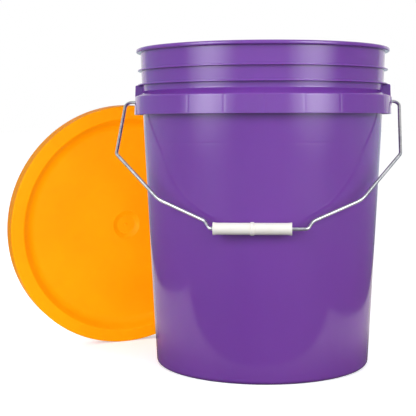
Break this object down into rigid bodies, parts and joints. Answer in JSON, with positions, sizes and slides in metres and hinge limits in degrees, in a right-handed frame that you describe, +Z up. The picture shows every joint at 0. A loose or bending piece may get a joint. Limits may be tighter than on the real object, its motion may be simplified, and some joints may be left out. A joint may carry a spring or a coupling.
{
  "type": "plastic fermenting bucket",
  "caption": "Tapered plastic pail with a collared neck and wire bail with tube grip, and its press-on lid leaning behind it.",
  "frame": {"origin": "centre of the pail's base, on the floor it stands on", "axes": "+Z up along the pail's axis; X along the bail's pivot line through the two ears; the bail hangs towards -Y and the lid leans at the back, towards -X"},
  "size_m": [0.4833, 0.3276, 0.375],
  "materials": {
    "pail_plastic": "glossy",
    "lid_plastic": "satin",
    "grip_plastic": "satin",
    "bail_wire": "galvanised",
    "gasket_rubber": "matte"
  },
  "bodies": {
    "pail": {"pail": "pail_plastic"},
    "bail": {"bail_wire": "bail_wire"},
    "grip": {"grip": "grip_plastic"},
    "lid": {"lid": "lid_plastic", "lid_gasket": "gasket_rubber"}
  },
  "joints": [
    {"name": "bail_swing", "type": "hinge", "parent": "pail", "child": "bail", "pos_m": [0, 0, 0.313], "axis": [-1, 0, 0], "range_deg": [0, 219]},
    {"name": "grip_spin", "type": "hinge", "parent": "bail", "child": "grip", "pos_m": [0, -0.14361, 0.1748], "axis": [1, 0, 0], "continuous": true},
    {"name": "lid_lift", "type": "slide", "parent": "pail", "child": "lid", "axis": [-0.3214, 0.5567, 0.766], "range_m": [0, 0.4]}
  ]
}
